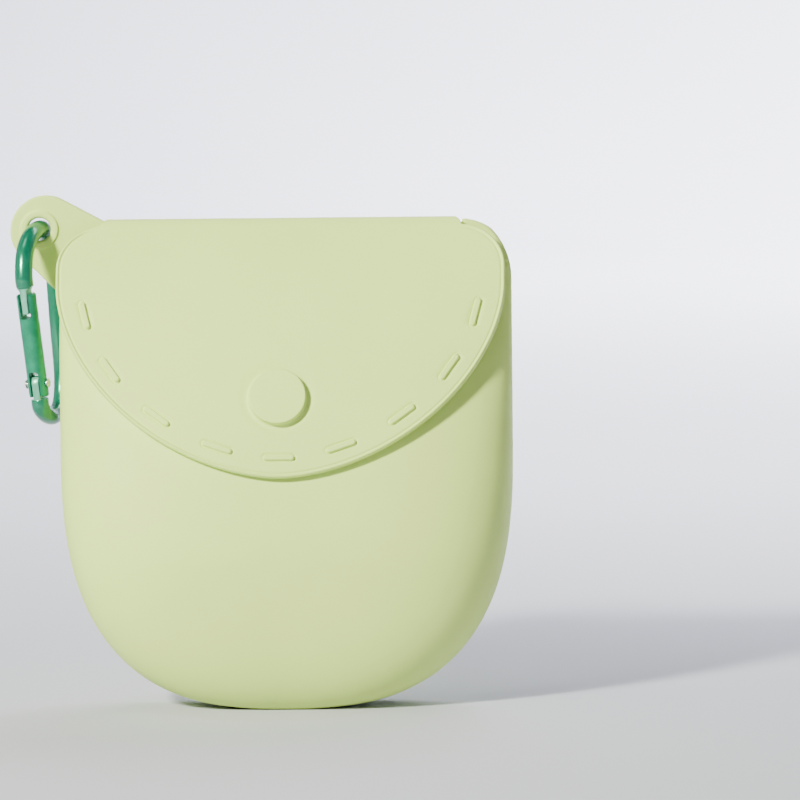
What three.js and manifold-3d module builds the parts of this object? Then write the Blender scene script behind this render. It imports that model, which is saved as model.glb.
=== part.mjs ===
// A moulded silicone treat pouch with a folding, magnet-closed flap and a small snap carabiner.
// Millimetres, +Z up, the front faces -Y, and the origin is the middle of the flat foot.
import * as THREE from 'three';
import { mergeVertices } from 'three/addons/utils/BufferGeometryUtils.js';
import { ParametricGeometry } from 'three/addons/geometries/ParametricGeometry.js';
import Module from 'manifold-3d';

const wasm = await Module();
wasm.setup();

// ---- driving dimensions -------------------------------------------------------------------------

const HALF_WIDTH = 57.5;
const WALL = 2.0;
const FLOOR = 2.4;
const CLEARANCE = 0.3;
// how far joined pieces sit inside each other's faces
const SKIN = 0.03;

// front outline: straight sides above SIDE_Z, a superellipse below it
const SIDE_Z = 67.8;
const SIDE_POWER = 2.8;
const FOOT_CUT_X = 0.2;

// side profile: deepest at BELLY_Z, leaning back towards the mouth above it
const FRONT_Y = -20.5;
const BELLY_Z = 38;
const BELLY_POWER = 2.45;
const LEAN_Z = 121;
const LEAN_RUN = 33.5;
const LEAN_POWER = 1.55;
const HEEL_Z = 26;
const HEEL_POWER = 2.6;
const FOOT_CUT_Y = 1.35;

// horizontal sections: flat back, round back corners, full front
const BACK_CORNER = 9.5;
// a back corner's largest share of the section's depth and of its half width
const CORNER_DEPTH_SHARE = 0.45;
const CORNER_WIDTH_SHARE = 0.8;
const FRONT_POWER = 3;

const MOUTH_Z = 104;
const MOUTH_Y = 3.0;
const BLOCK_FRONT_TOP_Z = 108;
const MOUTH_LEAN = 33;
const SHOULDER_R = 14.2;
const WALL_TOP_Z = 122.6;
const BLOCK_TOP_Z = 126;
// the hollow's lowest section, where it is already wide enough to shrink by the wall
const HOLLOW_START_Z = 0.4;

// the fold over the back wall's top edge
const FOLD_R = 3.4;
const FOLD_JOIN_Z = 120.4;
const CREASE_ANGLE = 80;
const CREASE_GAP_ANGLE = 8;

// flap
const FLAP_T = 1.9;
const FLAP_GAP = 0.4;
const FLAP_X = -1.0;
const FLAP_HALF_WIDTH = 56.9;
const FLAP_WIDEST_Z = 107;
const FLAP_TIP_Z = 60.0;
const FLAP_POWER = 1.78;
const TIP_HALF_WIDTH = 3;
const FLAP_CORNER_R = 12;
const FLAP_CORNER_Z = 110;
const NECK_HALF_WIDTH = 44.3;
const FLAP_CROWN = 2.0;
const CROWN_POWER = 2.5;
const CROWN_TOP_Z = 110;
const CROWN_FULL_Z = 84;

// button and magnets
const BUTTON_X = -1.4;
const BUTTON_Z = 78.5;
const BUTTON_R = 7.15;
const BUTTON_H = 2.0;
const BUTTON_EDGE = 0.9;
const MAGNET_R = 4.0;
const MAGNET_T = 1.5;
const MAGNET_EDGE = 0.2;
const PLUG_T = 0.8;
const POCKET_R = MAGNET_R + CLEARANCE;
const POCKET_DEPTH = MAGNET_T + PLUG_T + 2 * CLEARANCE;
const BOSS_R = 6.2;
const BOSS_H = 1.7;

// raised stitch bars along the flap's edge
const BAR_COUNT = 9;
const BAR_STEP = 19.7;
const BAR_HALF_WIDTH = 50.4;
const BAR_DROP = 42.1;
const BAR_POWER = 1.85;
const BAR_R = 0.73;
const BAR_LENGTH = 7.8;
const BAR_PROUD = 0.45;
// radians ahead on the bars' curve that give a bar its heading
const BAR_STEP_AHEAD = 0.01;

// hanging tab and eyelet
const TAB_X = -61.1;
const TAB_Z = 120.3;
const TAB_R = 9.15;
const TAB_T = 1.9;
const TAB_UPPER_SLOPE = 28.5;
const TAB_LOWER_SLOPE = 45;
const TAB_ROOT_X = -44;
const EYELET_X = -62.8;
const EYELET_Z = 120.8;
const EYELET_R = 2.9;
const EYELET_FLARE = 0.8;
const COLLAR_R = 4.85;
const COLLAR_PROUD = 0.55;

// carabiner, in its own plane: p runs from the gate to the spine, q runs up, from the hanging point
const ROD_R = 2.25;
const CARABINER_TURN = 17;
const CARABINER_LEAN = 4.8;
const HANG_DROP = 0.15;
const RIVET_P = -11.65;
const RIVET_Q = -38.3;
const GATE_TILT = 4.6;
const GATE_R = 2.5;
const GATE_TOP = 23.2;
const GATE_BOTTOM = -3.4;
const GATE_BORE_R = 1.6;
const GATE_BORE_TOP = 15.5;
const NOSE_SLOT = 2.7;
const NOSE_SLOT_END = 16.9;
const HINGE_SLOT = 2.5;
const HINGE_SLOT_END = 3.3;
const NOSE_END = 25.2;
const NOSE_NECK_END = 23.5;
const NOSE_NECK_R = 1.25;
const NOSE_TONGUE_T = 1.5;
const NOSE_TONGUE_END = 18.1;
const HINGE_TONGUE_T = 1.85;
const HINGE_BLOCK = -3.9;
const STRAIGHT_END = 2;
const TONGUE_R = 2.1;
// how far a tongue or neck runs into the piece it joins
const OVERRUN = 0.5;
const RIVET_R = 0.75;
const RIVET_HEAD_R = 1.15;
const RIVET_HALF_LENGTH = 3.35;
const RIVET_HEAD_T = 0.55;
const RIVET_DOME = 0.44;
const PLUNGER_R = 1.3;
const PLUNGER_LENGTH = 2.6;
const SPRING_R = 1.05;
const SPRING_WIRE_R = 0.18;
const SPRING_TURNS = 7;

const REACH = 200;

// ---- solids -------------------------------------------------------------------------------------

const radians = THREE.MathUtils.degToRad;

/** A manifold solid from any closed geometry, dropping triangles that have no area. */
function solid(geometry, matrix = new THREE.Matrix4()) {
  const bare = geometry.clone().applyMatrix4(matrix);
  bare.deleteAttribute('normal');
  bare.deleteAttribute('uv');
  const merged = mergeVertices(bare, 1e-4);
  const index = merged.index.array;
  const kept = [];
  for (let i = 0; i < index.length; i += 3) {
    const [a, b, c] = [index[i], index[i + 1], index[i + 2]];
    if (a !== b && b !== c && c !== a) {
      kept.push(a, b, c);
    }
  }
  const vertProperties = new Float32Array(merged.attributes.position.array);
  const triVerts = new Uint32Array(kept);
  return new wasm.Manifold(new wasm.Mesh({ numProp: 3, vertProperties, triVerts }));
}

/** A three.js geometry from a manifold solid. */
function geometryOf(shape) {
  const mesh = shape.getMesh();
  const geometry = new THREE.BufferGeometry();
  geometry.setAttribute('position', new THREE.BufferAttribute(mesh.vertProperties, 3));
  geometry.setIndex(new THREE.BufferAttribute(mesh.triVerts, 1));
  geometry.computeVertexNormals();
  return geometry;
}

function moved(x, y, z) {
  return new THREE.Matrix4().makeTranslation(x, y, z);
}

function box(x0, x1, y0, y1, z0, z1, matrix = new THREE.Matrix4()) {
  const geometry = new THREE.BoxGeometry(x1 - x0, y1 - y0, z1 - z0);
  geometry.translate((x0 + x1) / 2, (y0 + y1) / 2, (z0 + z1) / 2);
  return solid(geometry, matrix);
}

/** A cylinder along Z from z0 to z1, tapered where the radii differ. */
function disc(radius, z0, z1, sides = 24, topRadius = radius) {
  const geometry = new THREE.CylinderGeometry(topRadius, radius, z1 - z0, sides);
  geometry.rotateX(Math.PI / 2);
  geometry.translate(0, 0, (z0 + z1) / 2);
  return geometry;
}

/** A disc along Z with a rounded top edge. */
function puck(radius, z0, z1, edge) {
  const rounding = 4;
  const points = [new THREE.Vector2(0, z0), new THREE.Vector2(radius, z0)];
  for (let i = 0; i <= rounding; i++) {
    const angle = (Math.PI / 2) * (i / rounding);
    const across = radius - edge + edge * Math.cos(angle);
    points.push(new THREE.Vector2(across, z1 - edge + edge * Math.sin(angle)));
  }
  points.push(new THREE.Vector2(0, z1));
  const geometry = new THREE.LatheGeometry(points, 32);
  geometry.rotateX(Math.PI / 2);
  return geometry;
}

/** An outline in the XZ plane made into a plate from y0 to y1. */
function plate(shape, y0, y1, curveSegments = 12) {
  const depth = y1 - y0;
  const geometry = new THREE.ExtrudeGeometry(shape, { depth, bevelEnabled: false, curveSegments });
  geometry.rotateX(Math.PI / 2);
  geometry.translate(0, y1, 0);
  return solid(geometry);
}

/** A closed skin of rings: ring(station, u, target) sets the point at turn u of a station's ring. */
function loft(ring, stations, sides) {
  const sample = new THREE.Vector3();
  const middleOf = (station) => {
    const middle = new THREE.Vector3();
    for (let i = 0; i < sides; i++) {
      ring(station, i / sides, sample);
      middle.addScaledVector(sample, 1 / sides);
    }
    return middle;
  };
  const last = stations.length - 1;
  const ends = [middleOf(stations[0]), middleOf(stations[last])];
  const rows = stations.length + 1;
  const skin = (u, v, target) => {
    const row = Math.round(v * rows);
    if (row === 0 || row === rows) {
      target.copy(ends[row === 0 ? 0 : 1]);
    } else {
      ring(stations[row - 1], (1 - u) % 1, target);
    }
  };
  return new ParametricGeometry(skin, sides, rows);
}

function signedPower(value, power) {
  return Math.sign(value) * Math.abs(value) ** power;
}

/** Values from one end to the other that crowd together near the start. */
function crowded(from, to, count, power = 2) {
  return Array.from({ length: count + 1 }, (_, i) => from + (to - from) * (i / count) ** power);
}

// ---- pouch shape --------------------------------------------------------------------------------

/** A superellipse arc, 1 at z = top and above, falling to 0 at z = -cut. */
function bowl(z, top, cut, power) {
  return z >= top ? 1 : (1 - ((top - z) / (top + cut)) ** power) ** (1 / power);
}

/** The front surface's y on the middle plane. */
function frontAt(z) {
  if (z <= BELLY_Z) {
    return FRONT_Y * bowl(z, BELLY_Z, FOOT_CUT_Y, BELLY_POWER);
  }
  return FRONT_Y + LEAN_RUN * ((z - BELLY_Z) / (LEAN_Z - BELLY_Z)) ** LEAN_POWER;
}

/** The front surface's backward lean from upright, in radians. */
function leanAt(z) {
  const reach = Math.max(z - BELLY_Z, 0) / (LEAN_Z - BELLY_Z);
  return Math.atan(((LEAN_RUN * LEAN_POWER) / (LEAN_Z - BELLY_Z)) * reach ** (LEAN_POWER - 1));
}

/** The point a distance out of the front surface on the middle plane, as [y, z]. */
function outOfFront(z, distance) {
  const lean = leanAt(z);
  return [frontAt(z) - distance * Math.cos(lean), z + distance * Math.sin(lean)];
}

// the fold's middle is placed so that its outer side runs smoothly into the flap's outer side
const [FOLD_Y, FOLD_Z] = outOfFront(FOLD_JOIN_Z, FLAP_GAP + FLAP_T - FOLD_R);
const BACK_Y = FOLD_Y + FOLD_R;

const FRONT_SIDES = 32;
const CORNER_SIDES = 5;
const BACK_SIDES = 6;
const RING_SIDES = FRONT_SIDES + 2 * CORNER_SIDES + BACK_SIDES;

/** A point of the pouch's horizontal section at height z, shrunk by an inset. */
function sectionPoint(z, inset, u, target) {
  const half = HALF_WIDTH * bowl(z, SIDE_Z, FOOT_CUT_X, SIDE_POWER) - inset;
  const front = frontAt(Math.min(z, BLOCK_FRONT_TOP_Z)) + inset;
  const back = BACK_Y * bowl(z, HEEL_Z, FOOT_CUT_Y, HEEL_POWER) - inset;
  const largest = Math.min(CORNER_DEPTH_SHARE * (back - front), CORNER_WIDTH_SHARE * half);
  const corner = Math.min(BACK_CORNER - inset, largest);
  const side = back - corner;
  const step = u * RING_SIDES;
  const quarter = Math.PI / 2;
  if (step <= FRONT_SIDES) {
    const angle = (Math.PI * step) / FRONT_SIDES;
    const out = Math.abs(Math.sin(angle)) ** (2 / FRONT_POWER);
    target.set(half * signedPower(Math.cos(angle), 2 / FRONT_POWER), side - (side - front) * out, z);
  } else if (step <= FRONT_SIDES + CORNER_SIDES) {
    const angle = quarter * ((step - FRONT_SIDES) / CORNER_SIDES);
    target.set(corner * (1 - Math.cos(angle)) - half, side + corner * Math.sin(angle), z);
  } else if (step <= FRONT_SIDES + CORNER_SIDES + BACK_SIDES) {
    const part = (step - FRONT_SIDES - CORNER_SIDES) / BACK_SIDES;
    target.set((half - corner) * (2 * part - 1), back, z);
  } else {
    const angle = quarter * ((RING_SIDES - step) / CORNER_SIDES);
    target.set(half - corner * (1 - Math.cos(angle)), side + corner * Math.sin(angle), z);
  }
}

/** The pouch's block with no hollow, shrunk by an inset and standing on a raised floor. */
function pouchBlock(inset, floor) {
  const start = inset > 0 ? HOLLOW_START_Z : 0;
  const low = crowded(start, SIDE_Z, 13);
  const high = [80, 92, MOUTH_Z, BLOCK_FRONT_TOP_Z, BLOCK_TOP_Z];
  const ring = (z, u, target) => {
    sectionPoint(z, inset, u, target);
    target.z = floor + z * (1 - floor / BLOCK_TOP_Z);
  };
  return solid(loft(ring, [...low, ...high], RING_SIDES));
}

/** A frame at x and height z whose +Z is the front's outward normal, a distance out of the surface. */
function onFront(x, z, distance) {
  const [y, lifted] = outOfFront(z, distance);
  const turn = new THREE.Matrix4().makeRotationX(Math.PI / 2 - leanAt(z));
  return moved(x, y, lifted).multiply(turn);
}

/** The slanted mouth: everything in front of a plane that leans back, above the front rim. */
function mouthCut() {
  const lean = new THREE.Matrix4().makeRotationX(-radians(MOUTH_LEAN));
  const ahead = box(-REACH, REACH, -REACH, 0, -REACH, REACH, moved(0, MOUTH_Y, MOUTH_Z).multiply(lean));
  return ahead.intersect(box(-REACH, REACH, -REACH, REACH, MOUTH_Z, REACH));
}

/** A tall plate whose rounded top corners give the back wall its shoulders. */
function shoulders() {
  const outline = new THREE.Shape();
  outline.moveTo(-HALF_WIDTH - 1, -1);
  outline.lineTo(HALF_WIDTH + 1, -1);
  outline.lineTo(HALF_WIDTH, WALL_TOP_Z - SHOULDER_R);
  outline.absarc(HALF_WIDTH - SHOULDER_R, WALL_TOP_Z - SHOULDER_R, SHOULDER_R, 0, Math.PI / 2, false);
  outline.absarc(SHOULDER_R - HALF_WIDTH, WALL_TOP_Z - SHOULDER_R, SHOULDER_R, Math.PI / 2, Math.PI, false);
  return plate(outline, -REACH, REACH, 10);
}

/** The hanging tab: a round end whose straight edges run into the back wall, with a raised collar. */
function hangingTab() {
  const outline = new THREE.Shape();
  const upper = Math.PI / 2 - radians(TAB_UPPER_SLOPE);
  const lower = Math.PI + radians(TAB_LOWER_SLOPE);
  outline.absarc(TAB_X, TAB_Z, TAB_R, upper, lower, false);
  const lowerX = TAB_X + TAB_R * Math.cos(lower);
  const lowerZ = TAB_Z + TAB_R * Math.sin(lower);
  const run = WALL - HALF_WIDTH - lowerX;
  outline.lineTo(lowerX + run, lowerZ - run * Math.tan(radians(TAB_LOWER_SLOPE)));
  outline.lineTo(TAB_ROOT_X, MOUTH_Z);
  const upperX = TAB_X + TAB_R * Math.cos(upper);
  const upperZ = TAB_Z + TAB_R * Math.sin(upper);
  outline.lineTo(TAB_ROOT_X, upperZ - (TAB_ROOT_X - upperX) * Math.tan(radians(TAB_UPPER_SLOPE)));
  const front = BACK_Y - TAB_T;
  const web = plate(outline, front, BACK_Y - SKIN, 18);
  const ring = new THREE.Shape();
  ring.absarc(EYELET_X, EYELET_Z, COLLAR_R, 0, 2 * Math.PI, false);
  const collar = plate(ring, front - COLLAR_PROUD, BACK_Y + COLLAR_PROUD, 12);
  return web.add(collar).subtract(eyelet());
}

/** The eyelet's hole, flared at both faces. */
function eyelet() {
  const face = TAB_T / 2 + COLLAR_PROUD;
  const across = moved(EYELET_X, BACK_Y - TAB_T / 2, EYELET_Z);
  const upright = new THREE.Matrix4().makeRotationX(Math.PI / 2);
  const frame = across.multiply(upright);
  const hole = solid(disc(EYELET_R, -2 * face, 2 * face, 32), frame);
  const flareR = EYELET_R + EYELET_FLARE;
  const rear = solid(disc(flareR, -face - SKIN, -face + EYELET_FLARE, 32, EYELET_R), frame);
  const front = solid(disc(EYELET_R, face - EYELET_FLARE, face + SKIN, 32, flareR), frame);
  return hole.add(rear).add(front);
}

/** The pouch side of the fold: a bar along X whose section is part of the fold's ring. */
function wallFold() {
  const outline = new THREE.Shape();
  const to = radians(CREASE_ANGLE);
  outline.moveTo(FOLD_R - SKIN, -WALL);
  outline.absarc(0, 0, FOLD_R - SKIN, 0, to, false);
  outline.absarc(0, 0, FOLD_R - WALL + SKIN, to, 0, true);
  outline.lineTo(FOLD_R - WALL + SKIN, -WALL);
  const depth = 2 * NECK_HALF_WIDTH;
  const geometry = new THREE.ExtrudeGeometry(outline, { depth, bevelEnabled: false, curveSegments: 7 });
  // the outline's x runs back along Y and its y runs up along Z, and the bar runs along X
  const axes = [new THREE.Vector3(0, 1, 0), new THREE.Vector3(0, 0, 1), new THREE.Vector3(1, 0, 0)];
  const basis = new THREE.Matrix4().makeBasis(...axes);
  return solid(geometry, moved(FLAP_X - NECK_HALF_WIDTH, FOLD_Y, FOLD_Z).multiply(basis));
}

function pouchBody() {
  const neckX = NECK_HALF_WIDTH + CLEARANCE;
  const neckRoom = box(FLAP_X - neckX, FLAP_X + neckX, -REACH, REACH, FOLD_Z, REACH);
  const wallFrame = onFront(BUTTON_X, BUTTON_Z, 0);
  const bossEnd = -WALL - BOSS_H;
  const boss = solid(disc(BOSS_R, bossEnd, -WALL / 2, 32), wallFrame);
  const pocket = solid(disc(POCKET_R, bossEnd - 1, bossEnd + POCKET_DEPTH, 32), wallFrame);
  return pouchBlock(0, 0)
    .intersect(shoulders())
    .subtract(pouchBlock(WALL, FLOOR))
    .subtract(mouthCut())
    .add(hangingTab())
    .subtract(neckRoom)
    .add(wallFold())
    .add(boss)
    .subtract(pocket);
}

// ---- flap ---------------------------------------------------------------------------------------

function flapHalfWidthAt(z) {
  if (z > FLAP_CORNER_Z) {
    const rise = Math.min(z - FLAP_CORNER_Z, FLAP_CORNER_R);
    return FLAP_HALF_WIDTH - FLAP_CORNER_R + Math.sqrt(FLAP_CORNER_R ** 2 - rise ** 2);
  }
  const drop = Math.max(FLAP_WIDEST_Z - z, 0) / (FLAP_WIDEST_Z - FLAP_TIP_Z);
  return FLAP_HALF_WIDTH * Math.max(1 - drop ** FLAP_POWER, 0) ** (1 / FLAP_POWER);
}

/** How far the flap's sides fall back behind its middle. */
function crownAt(x, z) {
  const fade = THREE.MathUtils.clamp((CROWN_TOP_Z - z) / (CROWN_TOP_Z - CROWN_FULL_Z), 0, 1);
  return FLAP_CROWN * fade * Math.abs(x / FLAP_HALF_WIDTH) ** CROWN_POWER;
}

/** The flap's stations, from the crease over the fold and down to the tip. */
function flapStations() {
  const stations = [];
  const from = radians(CREASE_ANGLE + CREASE_GAP_ANGLE);
  const to = Math.PI - leanAt(FOLD_JOIN_Z);
  const arcSteps = 5;
  for (let i = 0; i < arcSteps; i++) {
    const angle = from + ((to - from) * i) / arcSteps;
    const at = (radius) => [FOLD_Y + radius * Math.cos(angle), FOLD_Z + radius * Math.sin(angle)];
    stations.push({ outer: at(FOLD_R), inner: at(FOLD_R - FLAP_T), half: NECK_HALF_WIDTH, z: FOLD_JOIN_Z });
  }
  const tipZ = FLAP_TIP_Z - FLAP_GAP;
  const corners = crowded(FOLD_JOIN_Z, FLAP_WIDEST_Z, 6, 1.4);
  const sides = crowded(tipZ, FLAP_WIDEST_Z, 13, 1.7).reverse().slice(1);
  for (const z of [...corners, ...sides]) {
    const outer = outOfFront(z, FLAP_GAP + FLAP_T);
    const half = Math.max(flapHalfWidthAt(outer[1]), TIP_HALF_WIDTH);
    stations.push({ outer, inner: outOfFront(z, FLAP_GAP), half, z });
  }
  return stations;
}

function flapSheet() {
  const across = 14;
  const sides = 2 * across + 2;
  const ring = (station, u, target) => {
    const step = Math.round(u * sides);
    const outside = step <= across;
    const along = outside ? step / across : (sides - 1 - step) / across;
    const x = station.half * (2 * along - 1);
    const [y, z] = outside ? station.outer : station.inner;
    target.set(FLAP_X + x, y + crownAt(x, station.z), z);
  };
  return solid(loft(ring, flapStations(), sides));
}

/** A stitch bar: a half-sunk capsule that follows the flap's edge at a steady inset. */
function stitchBar(index) {
  const curve = (angle) => {
    const x = BAR_HALF_WIDTH * signedPower(Math.sin(angle), 2 / BAR_POWER);
    return [x, FLAP_WIDEST_Z - BAR_DROP * Math.cos(angle) ** (2 / BAR_POWER)];
  };
  const angle = radians(BAR_STEP * index);
  const [x, z] = curve(angle);
  const [nextX, nextZ] = curve(angle + BAR_STEP_AHEAD);
  const heading = Math.atan2(nextZ - z, nextX - x);
  const geometry = new THREE.CapsuleGeometry(BAR_R, BAR_LENGTH - 2 * BAR_R, 3, 10);
  geometry.rotateZ(heading - Math.PI / 2);
  const outside = FLAP_GAP + FLAP_T + BAR_PROUD - BAR_R;
  const frame = onFront(FLAP_X + x, z - outside * Math.sin(leanAt(z)), outside);
  return solid(geometry, moved(0, crownAt(x, z), 0).multiply(frame));
}

const flapFrame = onFront(BUTTON_X, BUTTON_Z, FLAP_GAP + FLAP_T);

function flap() {
  let shape = flapSheet().add(solid(puck(BUTTON_R, -FLAP_T / 2, BUTTON_H, BUTTON_EDGE), flapFrame));
  for (let i = 0; i < BAR_COUNT; i++) {
    shape = shape.add(stitchBar(i - (BAR_COUNT - 1) / 2));
  }
  return shape.subtract(solid(disc(POCKET_R, -FLAP_T - 1, POCKET_DEPTH - FLAP_T, 32), flapFrame));
}

// ---- carabiner ----------------------------------------------------------------------------------

/** A frame on the gate's pivot whose +Z runs up the gate, in the carabiner's own plane. */
const gateFrame = moved(0, RIVET_P, RIVET_Q).multiply(new THREE.Matrix4().makeRotationX(radians(GATE_TILT)));

/** The bent rod's middle line, from the gate's pivot round the spine to the nose. */
function rodPath() {
  const onGateAxis = (height) => new THREE.Vector3(0, 0, height).applyMatrix4(gateFrame);
  const bends = [
    [-8.4, -46.3],
    [-3.3, -47.4],
    [2.4, -45.2],
    [5.3, -39.4],
    [6.2, -24.0],
    [6.8, -9.0],
    [5.4, -2.6],
    [1.9, -0.1],
    [-2.4, 0],
    [-7.6, -1.7],
    [-11.8, -5.4],
  ];
  const points = bends.map(([p, q]) => new THREE.Vector3(0, p, q));
  const route = [
    onGateAxis(HINGE_BLOCK),
    onGateAxis(HINGE_BLOCK - STRAIGHT_END),
    ...points,
    onGateAxis(NOSE_END + STRAIGHT_END),
    onGateAxis(NOSE_END),
  ];
  return new THREE.CatmullRomCurve3(route, false, 'centripetal');
}

/** A round rod's end milled to a flat tongue, in its own frame. */
function tongue(radius, thickness, z0, z1) {
  const half = thickness / 2;
  return solid(disc(radius, z0, z1, 16)).intersect(box(-half, half, -radius, radius, z0, z1));
}

/** The hinge tongue: its top is round about the rivet, so that the gate turns clear over it. */
function hingeTongue() {
  const low = HINGE_BLOCK - OVERRUN;
  const roundTop = solid(alongX(TONGUE_R, -TONGUE_R, TONGUE_R, 24));
  const straight = box(-TONGUE_R, TONGUE_R, -TONGUE_R, TONGUE_R, low, 0);
  return tongue(TONGUE_R, HINGE_TONGUE_T, low, TONGUE_R).intersect(roundTop.add(straight));
}

function alongX(radius, x0, x1, sides = 16) {
  const geometry = disc(radius, x0, x1, sides);
  geometry.rotateY(Math.PI / 2);
  return geometry;
}

function carabinerFrame() {
  const section = new THREE.Shape();
  section.absarc(0, 0, ROD_R, 0, 2 * Math.PI, false);
  const settings = { steps: 56, extrudePath: rodPath(), curveSegments: 7 };
  const bentRod = solid(new THREE.ExtrudeGeometry(section, settings));
  const neck = solid(disc(NOSE_NECK_R, NOSE_NECK_END, NOSE_END + SKIN, 14, ROD_R - SKIN));
  const noseTongue = tongue(TONGUE_R, NOSE_TONGUE_T, NOSE_TONGUE_END, NOSE_NECK_END + OVERRUN);
  const rivetHole = solid(alongX(RIVET_R + CLEARANCE, -ROD_R, ROD_R));
  const ends = neck.add(noseTongue).add(hingeTongue()).transform([...gateFrame.elements]);
  return bentRod.add(ends).subtract(rivetHole.transform([...gateFrame.elements]));
}

/** The gate tube in its own frame: slotted at both ends, bored from below for the spring. */
function carabinerGate() {
  const wide = 2 * GATE_R;
  const body = solid(disc(GATE_R, GATE_BOTTOM, GATE_TOP, 24));
  const bore = solid(disc(GATE_BORE_R, GATE_BOTTOM - 1, GATE_BORE_TOP, 20));
  const noseSlot = box(-NOSE_SLOT / 2, NOSE_SLOT / 2, -wide, wide, NOSE_SLOT_END, GATE_TOP + 1);
  const hingeSlot = box(-HINGE_SLOT / 2, HINGE_SLOT / 2, -wide, wide, GATE_BOTTOM - 1, HINGE_SLOT_END);
  const roundEnd = solid(alongX(-GATE_BOTTOM, -wide, wide, 40));
  const squareEnd = box(-wide, wide, -wide, wide, GATE_BOTTOM - 1, 0).subtract(roundEnd);
  const rivetHole = solid(alongX(RIVET_R + CLEARANCE, -wide, wide));
  return body.subtract(bore).subtract(noseSlot).subtract(hingeSlot).subtract(squareEnd).subtract(rivetHole);
}

function gateRivet() {
  const headStart = RIVET_HALF_LENGTH - RIVET_HEAD_T;
  const shank = solid(alongX(RIVET_R, -headStart - SKIN, headStart + SKIN));
  const domed = puck(RIVET_HEAD_R, headStart, RIVET_HALF_LENGTH, RIVET_DOME);
  const right = solid(domed.clone().rotateY(Math.PI / 2));
  const left = solid(domed.clone().rotateY(-Math.PI / 2));
  return shank.add(right).add(left);
}

const PLUNGER_START = TONGUE_R + CLEARANCE;
const SPRING_START = PLUNGER_START + PLUNGER_LENGTH + CLEARANCE + SPRING_WIRE_R;
const SPRING_END = GATE_BORE_TOP - CLEARANCE - SPRING_WIRE_R;

class Helix extends THREE.Curve {
  getPoint(t, target = new THREE.Vector3()) {
    const angle = 2 * Math.PI * SPRING_TURNS * t;
    const height = SPRING_START + (SPRING_END - SPRING_START) * t;
    return target.set(SPRING_R * Math.cos(angle), SPRING_R * Math.sin(angle), height);
  }
}

function gateSpring() {
  const wire = new THREE.Shape();
  wire.absarc(0, 0, SPRING_WIRE_R, 0, 2 * Math.PI, false);
  const settings = { steps: 12 * SPRING_TURNS, extrudePath: new Helix(), curveSegments: 3 };
  return solid(new THREE.ExtrudeGeometry(wire, settings));
}

// ---- assembly -----------------------------------------------------------------------------------

function silicone() {
  return new THREE.MeshStandardMaterial({ color: '#d0d8aa', roughness: 0.62, metalness: 0 });
}

function anodised() {
  return new THREE.MeshStandardMaterial({ color: '#1f9a63', roughness: 0.28, metalness: 0.9 });
}

function steel() {
  return new THREE.MeshStandardMaterial({ color: '#c9ccd0', roughness: 0.25, metalness: 1 });
}

function add(parent, name, shape, material) {
  const mesh = new THREE.Mesh(geometryOf(shape), material);
  mesh.name = name;
  parent.add(mesh);
  return mesh;
}

/** A magnet and the plug over it, in a frame whose pocket opens towards -Z at pocketMouth. */
function addMagnet(parent, name, frame, pocketMouth) {
  const plugEnd = pocketMouth + PLUG_T;
  const magnetStart = plugEnd + CLEARANCE;
  const plug = solid(disc(MAGNET_R, pocketMouth, plugEnd, 32), frame);
  const magnet = solid(puck(MAGNET_R, magnetStart, magnetStart + MAGNET_T, MAGNET_EDGE), frame);
  add(parent, `${name}_magnet`, magnet, steel());
  add(parent, `${name}_magnet_plug`, plug, silicone());
}

const pouch = new THREE.Group();
add(pouch, 'pouch_body', pouchBody(), silicone());
add(pouch, 'flap', flap(), silicone());
addMagnet(pouch, 'flap', flapFrame, -FLAP_T);
addMagnet(pouch, 'wall', onFront(BUTTON_X, BUTTON_Z, 0), -WALL - BOSS_H);

const leaning = new THREE.Group();
leaning.position.set(EYELET_X, BACK_Y - TAB_T / 2, EYELET_Z - HANG_DROP);
leaning.rotation.y = -radians(CARABINER_LEAN);
pouch.add(leaning);
const carabiner = new THREE.Group();
carabiner.rotation.z = -radians(CARABINER_TURN);
leaning.add(carabiner);
add(carabiner, 'carabiner_frame', carabinerFrame(), anodised());

const gate = new THREE.Group();
gate.position.set(0, RIVET_P, RIVET_Q);
gate.rotation.x = radians(GATE_TILT);
carabiner.add(gate);
add(gate, 'carabiner_gate', carabinerGate(), anodised());
add(gate, 'gate_rivet', gateRivet(), steel());
add(gate, 'gate_plunger', solid(disc(PLUNGER_R, PLUNGER_START, PLUNGER_START + PLUNGER_LENGTH, 18)), steel());
add(gate, 'gate_spring', gateSpring(), steel());

export default pouch;
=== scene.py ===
import math

import bmesh
import bpy
import numpy as np
from mathutils import Matrix, Vector


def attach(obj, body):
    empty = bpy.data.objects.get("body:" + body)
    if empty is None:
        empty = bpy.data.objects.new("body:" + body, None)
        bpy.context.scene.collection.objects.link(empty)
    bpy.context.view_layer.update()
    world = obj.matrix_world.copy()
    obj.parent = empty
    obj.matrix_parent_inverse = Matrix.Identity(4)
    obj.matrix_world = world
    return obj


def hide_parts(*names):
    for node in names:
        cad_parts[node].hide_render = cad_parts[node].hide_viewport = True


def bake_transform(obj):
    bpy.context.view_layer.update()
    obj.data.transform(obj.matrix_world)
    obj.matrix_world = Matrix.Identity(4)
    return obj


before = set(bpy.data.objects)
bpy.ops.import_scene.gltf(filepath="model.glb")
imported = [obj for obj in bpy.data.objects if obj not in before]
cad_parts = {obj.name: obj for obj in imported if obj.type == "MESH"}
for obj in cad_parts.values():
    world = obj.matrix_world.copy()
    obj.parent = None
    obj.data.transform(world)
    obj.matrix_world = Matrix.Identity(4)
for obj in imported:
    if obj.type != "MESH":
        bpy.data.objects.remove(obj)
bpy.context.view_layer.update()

# A moulded silicone treat pouch. Lengths are millimetres in the CAD frame, and meshes are metres.
MM = 0.001

# ---- shape, as in the CAD -----------------------------------------------------------------------

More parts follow.
